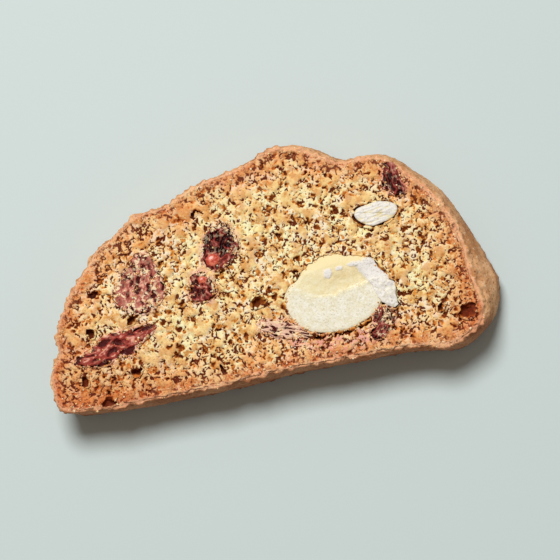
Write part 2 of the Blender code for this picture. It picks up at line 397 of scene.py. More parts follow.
def merged_copy(node_name):
    """A node's solid, whose faces share their corners."""
    shape = bmesh.new()
    shape.from_mesh(frame["nodes"][node_name].data)
    bmesh.ops.remove_doubles(shape, verts=shape.verts, dist=1e-6)
    return shape


def made_object(name, shape):
    """A bmesh made into an object; the bmesh is used up."""
    mesh = bpy.data.meshes.new(name)
    shape.to_mesh(mesh)
    shape.free()
    return as_object(name, mesh)


crumb = made_object("baked_crumb", merged_copy("baked_slice"))
remesh = crumb.modifiers.new("net", "REMESH")
remesh.mode = "VOXEL"
remesh.voxel_size = NET_STEP
settle(crumb, remesh)
print("net points:", len(crumb.data.vertices))

# %% [markdown]
# Three helper meshes tell the tree where it is.  The crust alone gives the distance to the crust, near
# which dough is denser and browner.  The outlines of the berries, with a seam of dough between two of
# them, give the distance to their juice, and the large almond's gives the distance to the nut.


# %% Crust, juice and nut
def crust_wall():
    """Only the crust round the slice, without its cut faces and the sockets in them."""
    shape = merged_copy("baked_slice")
    shape.normal_update()
    steep = {face for face in shape.faces if abs(face.normal.z) < 0.75}
    wall = {face for face in steep if min(vert.co.z for vert in face.verts) < FACE * 0.4}
    edge_of_search = list(wall)
    while edge_of_search:
        face = edge_of_search.pop()
        for edge in face.edges:
            for other in edge.link_faces:
                if other in steep and other not in wall:
                    wall.add(other)
                    edge_of_search.append(other)
    rest = [face for face in shape.faces if face not in wall]
    bmesh.ops.delete(shape, geom=rest, context="FACES")
    return made_object("crust_wall", shape)


def juice_source():
    """Where berries lie, and the seam of dough below the large almond along which their juice ran."""
    mesh = bpy.data.meshes.new("juice")
    points, faces = [], []
    for name in BERRIES:
        middle, outline = cut_outline(name)
        faces.append([len(points) + k for k in range(len(outline))])
        points += [(middle[0] + 0.9 * x, middle[1] + 0.9 * y, FACE) for x, y in outline]
    start, end = cut_outline("cranberry_low_middle")[0], cut_outline("cranberry_by_almond")[0]
    for share in np.linspace(0.1, 0.9, 6):
        x, y = start + share * (end - start)
        y -= (0.4 + 9.5 * share * (1.0 - share)) * MM
        faces.append([len(points) + k for k in range(3)])
        points += [(x, y - 1.6 * MM, FACE), (x + 2.2 * MM, y - 0.6 * MM, FACE), (x, y + 0.6 * MM, FACE)]
    mesh.from_pydata(points, [], faces)
    return as_object("juice", mesh)


def nut_source():
    """The large almond's cut surface, along whose lower edge the crumb cracked open."""
    middle, outline = cut_outline("almond_large")
    mesh = bpy.data.meshes.new("nut")
    corners = [(middle[0] + x, middle[1] + y, FACE) for x, y in outline]
    mesh.from_pydata(corners, [], [list(range(len(corners)))])
    return as_object("nut", mesh), float(middle[1])


wall = crust_wall()
juice = juice_source()
nut, nut_line = nut_source()
print("crust faces:", len(wall.data.polygons), "juice faces:", len(juice.data.polygons))

# %% [markdown]
# ## A foam in nodes
#
# The formula above becomes a function that adds its nodes to a tree.  The Voronoi texture's Position
# output is the middle of the nearest bubble.  Its Color output is a chance of the bubble's own, which
# sets the radius: squared, because few bubbles grow large.  Points outside every sphere stay put.


# %% Foam nodes
def distance_to(tree, thing):
    info = put(tree, "GeometryNodeObjectInfo", {"Object": thing}, transform_space="RELATIVE")
    near = put(
        tree, "GeometryNodeProximity", {"Geometry": info.outputs["Geometry"]}, target_element="FACES"
    )
    return Field(tree, near.outputs["Distance"])


def bubbles(tree, place, up, spacing, smallest, largest, ripple, shrink, seed):
    """How deep each point lies under a foam's cut, in metres.  The radii are in spacings."""
    per = Field(tree, spacing).calc("POWER", -1.0)
    warp = noise_node(tree, vector(tree, "SCALE", place, per * 1.3), 1.0)
    cells = vector(tree, "ADD", vector(tree, "SCALE", place, per), shaken_by(tree, warp, ripple))
    cells = vector(tree, "ADD", cells, (seed, seed * 1.7, seed * 0.3))
    foam = voronoi(tree, cells, 1.0, "F1")
    chance = split(tree, foam["Color"])[0]
    radius = (chance * chance * (largest - smallest) + smallest) * shrink
    distance = Field(tree, foam["Distance"])
    height = vector(tree, "DOT_PRODUCT", vector(tree, "SUBTRACT", cells, foam["Position"]), up)
    inside = radius * radius - distance * distance
    drop = height + (inside + height * height).root()
    return drop * inside.calc("GREATER_THAN", 0.0) * Field(tree, spacing)


print("drop for r 1.0, d 0.5 and h 0.3:", round(0.3 + math.sqrt(1.0**2 - 0.5**2 + 0.3**2), 2))

# %% [markdown]
# ## Furrows and crevices
#
# Between the bubbles the dough tore.  In some places the tears wind: they are the lines along which a
# cloud crosses its middle value.  In others they run straight, along the borders between the cells of a
# Voronoi texture.  Along the lower edge of the large almond the crumb shrank away from the nut, so there
# the tree opens short deep crevices.


# %% Furrow and crevice nodes
TORN_CELL = 1.7 * MM  # how far apart the straight furrows are


def furrows(tree, place, far, stain):
    bent = noise_node(tree, place, 1.25 * MM, 2.2)
    winding = (Field(tree, bent.outputs["Fac"]) - 0.5).calc("ABSOLUTE").ramp(0.068, 0.026)
    shaken = vector(tree, "ADD", place, shaken_by(tree, bent, 1.6 * MM))
    borders = voronoi(tree, shaken, TORN_CELL, "DISTANCE_TO_EDGE")
    straight = Field(tree, borders["Distance"]).ramp(0.085, 0.030)
    # Winding ones are more common near the crust, where the dough is toasted, and near the berries.
    chance = noise_at(tree, place, 1.1 * MM, W=5.0) + far.ramp(0.5 * MM, 6.0 * MM, 0.09, 0.0)
    chance = chance + stain * 0.06
    return (winding * chance.ramp(0.505, 0.57)).over(straight * chance.ramp(0.485, 0.42))


def crevices(tree, place, y, entry):
    gaps = noise_at(tree, place, 1.5 * MM, 1.5, W=9.0).ramp(0.47, 0.53)
    beside = distance_to(tree, entry["Nut"]).ramp(1.75 * MM, 1.15 * MM)
    below = (Field(tree, entry["Nut line"]) - y).ramp(-0.8 * MM, 1.2 * MM)
    return beside * gaps * below


print("straight furrows in mm apart:", TORN_CELL / MM)

# %% [markdown]
# ## The tree that presses
#
# Its inputs are the sizes a baker could measure: how far apart the bubbles of each kind are, how rough
# the torn walls between them are, and how deep the furrows.  All of it adds up to one depth along the
# surface's own direction, so one Set Position node does the pressing.  The tree also writes marks for
# the colours, such as how deep a point lies in a bubble and how far it is from the crust.


# %% The bubble tree
BUBBLE_FULL = 1.05 * MM  # the depth at which the mark "bubble" is 1 on a cut face
POCKET_FULL = 2.6 * MM  # and the depth below the face at which it is 1 in a socket or a pocket
INWARD_FULL = 8.0 * MM  # the distance from the crust at which the mark "inward" is 1


def store(tree, geometry, marks):
    """Stores numbers at every point under names that materials can read."""
    for mark, value in marks.items():
        node = put(
            tree, "GeometryNodeStoreNamedAttribute", {"Geometry": geometry, "Name": mark},
            data_type="FLOAT", domain="POINT",
        )
        feed(tree, node.inputs["Value"], value)
        geometry = node.outputs["Geometry"]
    return geometry


def crumb_tree(look):
    tree = new_tree("bubbles in the crumb", {
        "Geometry": "Geometry",
        "Crust": "Object",
        "Juice": "Object",
        "Nut": "Object",
        "Nut line": 0.0,
        "Fine spacing": 1.2 * MM,
        "Middle spacing": 2.0 * MM,
        "Large spacing": 5.5 * MM,
        "Roughness": 0.33 * MM,
        "Furrow depth": 0.26 * MM,
        "Deepest": 1.5 * MM,
        "Face height": FACE,
    })
    entry = put(tree, "NodeGroupInput").outputs
    place = put(tree, "GeometryNodeInputPosition").outputs["Position"]
    normal = put(tree, "GeometryNodeInputNormal").outputs["Normal"]
    lift = split(tree, normal)[2]
    _, y, level = split(tree, place)
    middle = Field(tree, entry["Face height"]) * 0.5
    # On a cut face: facing up or down, and at the face's own level, not on a socket's floor.
    outer = (level - middle).calc("ABSOLUTE")
    cut = lift.calc("ABSOLUTE").ramp(0.25, 0.65) * outer.ramp(middle - 1.0 * MM, middle - 0.5 * MM)
    up = put(tree, "ShaderNodeCombineXYZ", {"Z": lift.calc("SIGN")}).outputs["Vector"]
    far = distance_to(tree, entry["Crust"])
    stain = distance_to(tree, entry["Juice"]).ramp(0.2 * MM, 2.0 * MM, 1.0, 0.0)

    # Some regions rose more than others, and some stayed closed.
    closed = noise_at(tree, place, 2.6 * MM, W=2.0).ramp(0.52, 0.60)
    torn_here = closed * -0.75 + 1.0
    risen = noise_at(tree, place, 3.2 * MM, 1.0)
    open_here = risen.ramp(0.34, 0.58, 0.72, 1.1) * (closed * -0.4 + 1.0)
    # The dough is denser under the crust, so bubbles shrink towards it.
    shrink = far.ramp(0.4 * MM, 2.6 * MM, 0.45, 1.0)
    fine = bubbles(tree, place, up, entry["Fine spacing"], 0.22, 0.60, 1.9, open_here, 3.1)
    mid = bubbles(tree, place, up, entry["Middle spacing"], 0.03, 0.42, 2.3, shrink, 11.7)
    large = bubbles(tree, place, up, entry["Large spacing"], 0.00, 0.20, 1.2, shrink, 7.3)
    drop = (fine * 0.65).over(mid * 0.85).over(large).under(entry["Deepest"])
    drop = drop.over(crevices(tree, place, y, entry) * cut * (1.1 * MM))
    furrow = furrows(tree, place, far, stain) * torn_here * far.ramp(0.4 * MM, 1.2 * MM)
    torn = noise_at(tree, place, 1.05 * MM, 3.5, Roughness=0.62)
    swell = noise_at(tree, place, 9.0 * MM, 1.0)
    rough = torn * entry["Roughness"] * 2.2 * torn_here
    press = (drop + rough + swell * (0.35 * MM) + furrow * entry["Furrow depth"]) * cut

    # The crust swells softly.  Just under the upper face crumbs broke off it, so its outline is uneven.
    lump = noise_at(tree, place, 1.5 * MM, 1.0) - 0.45
    skin = swell.ramp(0.25, 0.75, -0.12 * MM, 0.22 * MM)
    grain = (torn - 0.5) * (0.40 * MM)
    chipped = outer.ramp(middle - 2.6 * MM, middle - 0.6 * MM, 0.25, 1.0)
    outside = outer.ramp(middle - 0.1 * MM, middle - 0.9 * MM) * far.ramp(0.9 * MM, 0.3 * MM)
    press = press + (skin + grain + lump * chipped * (2.2 * MM)) * outside
    # The walls of open pockets and sockets are torn crumb too.
    pocket = (cut * -1.0 + 1.0) * far.ramp(0.4 * MM, 0.9 * MM)
    press = press + ((torn - 0.5) * (1.1 * MM) + lump * (2.4 * MM)) * pocket

    # The marks are worked out on the unpressed net, so they are stored before it moves.
    marks = {
        # bubble and furrow are depths; the crumb's colour darkens with them as painted shade.
        "bubble": drop / BUBBLE_FULL * cut + (middle - outer) / POCKET_FULL * pocket,
        "furrow": furrow,
        "torn": torn,
        "closed": closed,
        "stain": stain,
        "inward": far / INWARD_FULL,
        "cut": cut.over(pocket),
    }
    marked = store(tree, entry["Geometry"], marks)
    shift = vector(tree, "SCALE", normal, press * -1.0)
    moved = put(tree, "GeometryNodeSetPosition", {"Geometry": marked, "Offset": shift})
    return end_tree(tree, moved.outputs["Geometry"], look)


print("a bubble mark of 1 is a depth in mm of", BUBBLE_FULL / MM)

# %% [markdown]
# ## Shader helpers
#
# Colours are given as the eye sees them and turned into the linear values that a shader adds up.  A
# colour made of many is a list of layers, from the one below to the one on top.


# %% Shader helpers
def srgb(colour):
    """A colour given as the eye sees it, 0 to 255, as the shader wants it."""
    shares = (channel / 255.0 for channel in colour)
    linear = [s / 12.92 if s <= 0.04045 else ((s + 0.055) / 1.055) ** 2.4 for s in shares]
    return (*linear, 1.0)


def new_material(name, roughness, specular):
    made = bpy.data.materials.new(name)
    made.use_nodes = True
    shader = made.node_tree.nodes["Principled BSDF"]
    shader.inputs["Roughness"].default_value = roughness
    shader.inputs["Specular IOR Level"].default_value = specular
    return made, made.node_tree, shader


def mix(tree, share, first, second, blend="MIX"):
    """Two colours, each a socket or given as the eye sees it."""
    node = put(tree, "ShaderNodeMix", {"Factor": share}, data_type="RGBA", blend_type=blend)
    for label, colour in (("A", first), ("B", second)):
        feed(tree, node.inputs[label], srgb(colour) if isinstance(colour, tuple) else colour)
    return next(s for s in node.outputs if s.name == "Result" and s.type == "RGBA")


def layered(tree, colour, *layers):
    """Colours over one another.  A layer says where it shows, its colour, and how it blends."""
    for share, over, *blend in layers:
        colour = mix(tree, share, colour, over, *blend)
    return colour


def attribute(tree, name):
    return Field(tree, put(tree, "ShaderNodeAttribute", attribute_name=name).outputs["Fac"])


def texture(tree, size, detail=2.0, roughness=0.5):
    """A cloudy texture whose patches are about the given size, from 0 to 1."""
    place = put(tree, "ShaderNodeTexCoord").outputs["Object"]
    return noise_at(tree, place, size, detail, Roughness=roughness)


def bump(tree, shader, height, distance, strength=1.0):
    node = put(tree, "ShaderNodeBump", {"Height": height, "Distance": distance, "Strength": strength})
    feed(tree, shader.inputs["Normal"], node.outputs["Normal"])


print("cream as a shader adds it up:", [round(part, 2) for part in srgb((255, 247, 196))])

# %% [markdown]
# Every surface of this slice has the same fine grain, only in another size, so the grain is a node group
# that each material uses with values of its own.


# %% The grain that all materials share
def grain_group():
    """The fine grain that all materials share: a crisp little cloud, and flecks where it peaks."""
    inputs = {"Size": 0.42 * MM, "Roughness": 0.65, "Flecks from": 0.56, "Flecks to": 0.64}
    tree = new_tree("fine grain", inputs, ("Grain", "Flecks"), "ShaderNodeTree")
    entry = put(tree, "NodeGroupInput").outputs
    little_cloud = put(tree, "ShaderNodeTexNoise", {
        "Vector": put(tree, "ShaderNodeTexCoord").outputs["Object"],
        "Scale": Field(tree, entry["Size"]).calc("POWER", -1.0),
        "Detail": 3.0,
        "Roughness": entry["Roughness"],
    })
    grain = Field(tree, little_cloud.outputs["Fac"])
    flecks = grain.ramp(entry["Flecks from"], entry["Flecks to"])
    put(tree, "NodeGroupOutput", {"Grain": grain, "Flecks": flecks})
    return tree


fine_grain = grain_group()


def grained(tree, size, roughness, start=0.56, end=0.64):
    """Grain and flecks from the shared group."""
    node = tree.nodes.new("ShaderNodeGroup")
    node.node_tree = fine_grain
    wanted = {"Size": size, "Roughness": roughness, "Flecks from": start, "Flecks to": end}
    for label, value in wanted.items():
        feed(tree, node.inputs[label], value)
    return Field(tree, node.outputs["Grain"]), Field(tree, node.outputs["Flecks"])


print("shared group:", fine_grain.name, "with", len(fine_grain.nodes), "nodes")

# %% [markdown]
# ## Colours of the crumb
#
# The crumb is not one colour.  The torn relief is cream on its ridges, a painted highlight, and orange in
# its hollows, painted shade.  The bubbles' insides are golden and darken to brown as they deepen, which is
# painted shade, as is the dark brown of the furrows.  The clouds that tore the relief colour it too,
# through the attributes, so that colour and shape agree.  Near the berries their juice turned the dough
# pink.


# %% Colours of the torn crumb
def torn_crumb(tree, grain, flecks):
    names = ("bubble", "torn", "closed", "stain", "furrow")
    bubble, torn, closed, stain, furrow = (attribute(tree, name) for name in names)
    patches = texture(tree, 3.6 * MM)
    plateau = mix(tree, patches.ramp(0.38, 0.62), (255, 236, 168), (254, 214, 148))
    cream = mix(tree, patches.ramp(0.44, 0.60), (255, 247, 196), (255, 238, 204))
    ochre = mix(tree, texture(tree, 1.5 * MM).ramp(0.4, 0.6), (252, 214, 138), (228, 164, 90))
    blotch = texture(tree, 1.9 * MM, 3.0, 0.6).ramp(0.54, 0.62)
    juicy = stain * texture(tree, 1.1 * MM, 3.0, 0.6).ramp(0.34, 0.58)
    return layered(
        tree, plateau,
        # Cream on the torn relief's ridges is a painted highlight, and orange in its hollows is painted
        # shade.
        (torn.ramp(0.54, 0.44), cream),
        (torn.ramp(0.57, 0.66), (212, 144, 66)),
        (blotch * 0.85, (216, 152, 68)),
        (flecks * 0.7, (255, 252, 218)),
        (closed * 0.75, ochre),
        (juicy * 0.85, (244, 186, 180)),
        # Golden, then brown, then almost black as a bubble or socket deepens: painted shade in the pits.
        (bubble.ramp(0.04, 0.24), (222, 148, 62)),
        (bubble.ramp(0.24, 0.50), (128, 58, 4)),
        (bubble.ramp(0.54, 0.88), (58, 16, 0)),
        (grain.ramp(0.42, 0.36) * 0.35, (158, 84, 24)),
        # Dark brown along the furrows: painted shade in the creases.
        (furrow.ramp(0.15, 0.60), (104, 40, 0)),
    )


# %% [markdown]
# ## Toast and crust
#
# Towards the crust everything is toasted: first faintly, then strongly, and most of all at both ends of
# the foot, where thin dough lay between two crusts.  Multiplying the colours keeps the pattern below
# visible, as heat does.  The closed crust itself is a smooth tan with fine pale flecks.  It is darkened
# near the ground as painted shade, and it is darker along the foot.


# %% Colours of toast and crust
def toasted(tree, colour, grain, along, across):
    inward = attribute(tree, "inward")
    warmth = inward.ramp(0.0, 1.40, 1.0, 0.0) * texture(tree, 4.0 * MM).ramp(0.30, 0.62, 0.45, 1.0)
    band = inward.ramp(0.02, 0.46, 1.0, 0.0) * texture(tree, 2.2 * MM).ramp(0.35, 0.6, 0.45, 1.0)
    left_end = along.ramp(slice_low.x + 36.0 * MM, slice_low.x + 4.0 * MM)
    right_end = along.ramp(slice_high.x - 17.0 * MM, slice_high.x - 5.0 * MM)
    corner = left_end.over(right_end) * across.ramp(slice_low.y + 24.0 * MM, slice_low.y + 3.0 * MM)
    return layered(
        tree, colour,
        (warmth, (252, 212, 194), "MULTIPLY"),
        (band * 0.28, (228, 158, 112)),
        (corner * 0.9, (238, 194, 168), "MULTIPLY"),
        (band.over(corner * 0.8) * grain.ramp(0.48, 0.40), (132, 50, 22)),
        (band * 0.85, (244, 218, 206), "MULTIPLY"),
        (inward.ramp(0.02, 0.13, 0.50, 0.0), (246, 196, 156)),
    )


def crust_colour(tree, across, height):
    dust, specks = grained(tree, 0.55 * MM, 0.65, 0.57, 0.66)
    return layered(
        tree, (234, 180, 130),
        (texture(tree, 5.0 * MM, 4.0, 0.6).ramp(0.38, 0.62), (200, 138, 88)),
        (dust.ramp(0.42, 0.34), (150, 92, 50)),
        (specks * 0.75, (248, 216, 178)),
        # Darker towards the ground: painted shade near the floor.
        (height.ramp(0.5 * MM, 7.0 * MM, 1.0, 0.0), (216, 186, 170), "MULTIPLY"),
        (across.ramp(slice_low.y + 6.0 * MM, slice_low.y + 3.0 * MM), (216, 196, 192), "MULTIPLY"),
    )


# %% [markdown]
# The mark "cut" decides between the two: 1 on the cut faces and in the pockets, 0 on the crust.


# %% Crumb material
def crumb_material():
    look, tree, shader = new_material("baked crumb", 0.85, 0.25)
    along, across, height = split(tree, put(tree, "ShaderNodeTexCoord").outputs["Object"])
    grain, flecks = grained(tree, 0.42 * MM, 0.7)
    inside = toasted(tree, torn_crumb(tree, grain, flecks), grain, along, across)
    cut = attribute(tree, "cut").ramp(0.15, 0.6)
    feed(tree, shader.inputs["Base Color"], mix(tree, cut, crust_colour(tree, across, height), inside))
    bump(tree, shader, grain, 0.12 * MM, 0.7)
    return look


crumb_look = crumb_material()
print(crumb_look.name, "nodes:", len(crumb_look.node_tree.nodes))

# %% [markdown]
# ## Pressing
#
# The tree runs once as a modifier.  What it makes is kept as a plain mesh, because the finished slice
# must not depend on helpers.  Those have done their work then, and go.


# %% Press the bubbles into the net
def run_tree(piece, tree, values):
    """Runs a geometry tree on an object once and keeps only the mesh it makes."""
    step = piece.modifiers.new(tree.name, "NODES")
    step.node_group = tree
    for socket in tree.interface.items_tree:
        if socket.item_type == "SOCKET" and socket.in_out == "INPUT" and socket.name in values:
            step[socket.identifier] = values[socket.name]
    settle(piece, step)


run_tree(crumb, crumb_tree(crumb_look), {"Crust": wall, "Juice": juice, "Nut": nut, "Nut line": nut_line})
for helper in (wall, juice, nut):
    bpy.data.objects.remove(helper, do_unlink=True)
print("pressed faces:", 2 * len(crumb.data.polygons))

# %% [markdown]
# The pressed net has far more faces than it needs.  Decimate removes points where the surface hardly
# bends, so the rims of the bubbles keep theirs.  It thins the points of a vertex group and leaves all
# others alone, so the body below and the upper face can each be given their own share of the faces.
# Its sums lose their precision on a mesh of a few centimetres, so it works in millimetres.


# %% Thin the net
UPPER_LAYER = 3.0 * MM
BODY_FACES = 50_000
UPPER_FACES = 138_000


def triangle_corners(mesh):
    """The numbers of the three corners of each triangle, one row for each."""
    mesh.calc_loop_triangles()
    corners = np.empty(len(mesh.loop_triangles) * 3, np.int32)
    mesh.loop_triangles.foreach_get("vertices", corners)
    return corners.reshape(-1, 3)


def thin_out(piece, highest, lowest, faces_left):
    """Thins the points between two heights down to about so many triangles."""
    mesh = piece.data
    height = corner_places(mesh, np.float32)[:, 2]
    chosen = (height <= highest) & (height > lowest)
    triangles = triangle_corners(mesh)
    inside = int(chosen[triangles].all(axis=1).sum())
    group = piece.vertex_groups.new(name="thinned")
    group.add(np.nonzero(chosen)[0].tolist(), 1.0, "REPLACE")
    mesh.transform(Matrix.Scale(1.0 / MM, 4))
    step = piece.modifiers.new("thin", "DECIMATE")
    step.ratio = 1.0 - max(0, inside - faces_left) / len(triangles)
    step.vertex_group = group.name
    settle(piece, step)
    piece.vertex_groups.clear()
    piece.data.transform(Matrix.Scale(MM, 4))


thin_out(crumb, FACE - UPPER_LAYER, -1.0, BODY_FACES)
thin_out(crumb, 1.0, FACE - UPPER_LAYER, UPPER_FACES)
crumb.data.shade_smooth()
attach(crumb, "root")
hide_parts("baked_slice")
print("crumb faces:", len(crumb.data.polygons))

# %% [markdown]
# ## What the knife cut through
#
# A nut or a berry in the cut face shows one surface, and hides the rest in its socket.  Each piece is
# therefore a fine net inside its outline, laid out like a spider's web so that its rim is smooth, over
# a plain bowl that closes it.  A function of the place gives the net's height, and at the same time
# the marks that the colours need: where an almond is bare, where a berry folds.


# %% A web over a bowl
RIM_STARTS = 0.88  # the share of the way out at which a piece's rim begins to turn down
BOWL_STEPS = 7


def resample(outline, count):
    """A closed outline as count corners with equal steps."""
    loop = np.vstack([outline, outline[:1]])
    along = np.concatenate([[0.0], np.cumsum(np.linalg.norm(np.diff(loop, axis=0), axis=1))])
    marks = np.linspace(0.0, along[-1], count, endpoint=False)
    return np.stack([np.interp(marks, along, loop[:, axis]) for axis in (0, 1)], axis=1)


def relaxed(loop, rounds):
    """The same loop with its corners rounded off a little in each round."""
    for _ in range(rounds):
        loop = 0.5 * loop + 0.25 * (np.roll(loop, 1, axis=0) + np.roll(loop, -1, axis=0))
    return loop


def web(name, middle, loop, surface, look, depth, rings=44, edge=0.30):
    """A closed piece; surface(x, y, share) gives its height in millimetres and its marks."""
    spokes = len(loop)
    places = [(0.0, 0.0, 0.0)]
    for ring in range(1, rings + 1):
        share = ring / rings
        places += [(x * share / MM, y * share / MM, share) for x, y in loop]
    points, marks = [], []
    for x, y, share in places:
        height, mark = surface(x, y, share)
        turn_down = max(0.0, (share - RIM_STARTS) / 0.12)
        height -= edge * (1.0 - math.sqrt(1.0 - turn_down**2))
        points.append((middle[0] + x * MM, middle[1] + y * MM, FACE + height * MM))
        marks.append(mark)
    upper = len(points)
    rim = points[-spokes:]
    for step in range(1, BOWL_STEPS):
        size = math.cos(0.5 * math.pi * step / BOWL_STEPS)
        drop = math.sin(0.5 * math.pi * step / BOWL_STEPS) * depth
        for x, y, z in rim:
            x, y = middle[0] + (x - middle[0]) * size, middle[1] + (y - middle[1]) * size
            points.append((x, y, z - drop))
    points.append((middle[0], middle[1], FACE - depth - edge * MM))
    marks += [marks[0]] * (len(points) - upper)

    faces = [(0, 1 + k, 1 + (k + 1) % spokes) for k in range(spokes)]
    for ring in range(rings + BOWL_STEPS - 2):
        start = 1 + ring * spokes
        for k in range(spokes):
            after = (k + 1) % spokes
            faces.append((start + k, start + spokes + k, start + spokes + after, start + after))
    start = 1 + (rings + BOWL_STEPS - 2) * spokes
    faces += [(start + k, len(points) - 1, start + (k + 1) % spokes) for k in range(spokes)]
    mesh = bpy.data.meshes.new(name)
    mesh.from_pydata(points, [], faces)
    for mark_name in marks[0]:
        values = mesh.attributes.new(mark_name, "FLOAT", "POINT")
        values.data.foreach_set("value", [mark[mark_name] for mark in marks])
    mesh.materials.append(look)
    mesh.shade_smooth()
    return as_object(name, mesh)


print("rings of the bowl below each piece:", BOWL_STEPS - 1)

# %% [markdown]
# A few small functions shape the surfaces.  All work in millimetres about the piece's middle: a soft
# cloud, a smooth rise from 0 to 1, an oval spot, and closeness to an angle.  The last one says where a
# piece fills its socket and where a crack is left, because baked dough shrinks away from some nuts.


# %% Shapes to put together
def cloud(x, y, size, seed):
    """A soft random height from -1 to 1 whose lumps are about the given size."""
    return noise.noise(Vector((x / size, y / size, seed)))


def widened(loop, spread, wander, seed):
    """Pushes a loop outwards by spread(angle) millimetres, plus an uneven little more."""
    pushed = []
    for x, y in loop:
        away = math.hypot(x, y)
        push = spread(math.degrees(math.atan2(y, x))) + wander * (
            cloud(x / MM, y / MM, 1.1, seed) + 0.7 * cloud(x / MM, y / MM, 0.45, seed)
        )
        pushed.append((x * (1.0 + push * MM / away), y * (1.0 + push * MM / away)))
    return np.array(pushed)


def near(angle, centre, width):
    """1 where an angle in degrees is at the centre, falling smoothly to 0 a width away."""
    off = abs((angle - centre + 180.0) % 360.0 - 180.0) / width
    return max(0.0, 1.0 - off * off) ** 2


def rise(value, start, end):
    """Moves smoothly from 0 to 1 while the value goes from start to end."""
    share = min(1.0, max(0.0, (value - start) / (end - start)))
    return share * share * (3.0 - 2.0 * share)


def spot(x, y, at, half, turn=0.0):
    """1 in the middle of an oval, 0 on its edge and outside."""
    turn = math.radians(turn)
    dx, dy = x - at[0], y - at[1]
    along = (dx * math.cos(turn) + dy * math.sin(turn)) / half[0]
    across = (dy * math.cos(turn) - dx * math.sin(turn)) / half[1]
    return max(0.0, 1.0 - along * along - across * across)


print("a rise at 0, 1/4, 1/2, 3/4 and 1:", [round(rise(k / 4.0, 0.0, 1.0), 2) for k in range(5)])

# %% [markdown]
# ## The almonds
#
# Blanched almond is an even cream, with a fine grain where the knife crossed it and faint growth lines
# that run round the nut, parallel to its rim.  The marks on each web say where it is something else: tan
# in the large almond's hollow and groove, which is painted shade, and along the small almond's grain and
# rim; yellow where its outside shows and over the broken half, where it is partly painted shade; white
# where it is freshly broken.

# %% Almond material
def almond_material():
    look, tree, shader = new_material("blanched almond", 0.55, 0.35)
    tan, yellow, white = (attribute(tree, mark) for mark in ("tan", "yellow", "white"))
    share = attribute(tree, "share")
    mottle = texture(tree, 1.6 * MM, 3.0, 0.6)
    grain, flecks = grained(tree, 0.40 * MM, 0.7, 0.52, 0.66)
    lines = (share * 62.0 + texture(tree, 3.5 * MM, 1.0) * 12.0).calc("SINE")
    strength = lines.ramp(0.0, 1.0) * texture(tree, 1.6 * MM).ramp(0.40, 0.66) * 0.28
    tan_and_shade = mix(tree, mottle.ramp(0.40, 0.62), (252, 232, 182), (238, 212, 156))
    broken = mix(tree, grain.ramp(0.48, 0.34), (244, 238, 230), (208, 196, 186))
    feed(tree, shader.inputs["Base Color"], layered(
        tree, (248, 242, 218),
        (mottle.ramp(0.35, 0.65), (238, 226, 184)),
        (grain.ramp(0.48, 0.34) * 0.55, (206, 192, 150)),
        (flecks, (255, 253, 238)),
        (strength, (222, 210, 168)),
        (yellow, (250, 230, 172)),
        # Tan: painted shade in the large almond's hollow and groove, and tan along the small almond's grain
        # and rim.
        (tan, tan_and_shade),
        (white, broken),
    ))
    bump(tree, shader, lines * 0.04 + grain * 1.6, 0.10 * MM, 0.6)
    return look


almond_look = almond_material()
print(almond_look.name, "nodes:", len(almond_look.node_tree.nodes))

# %% [markdown]
# The large almond was cut lengthwise.  Its lower half stayed flat and white.  The upper half split along
# the seam between its two seed leaves and broke away, so that a hollow is left, deepest along the seam;
# its floor and the groove are painted tan as shade.  A raised white edge is left at its right, three chips
# lie on its upper edge, and beyond them the nut's flank slopes down under the crumb.

# %% The large almond
SEAM = (  # the upper edge of the lower half, in millimetres about the nut's middle
    (-10.5, -8.0, -6.4, -4.3, -2.2, -0.3, 0.8, 2.0, 4.0, 6.8, 11.0),
    (2.7, 2.1, 0.9, -0.1, -0.5, -0.6, -0.3, 0.0, 0.3, 0.9, 1.6),
)


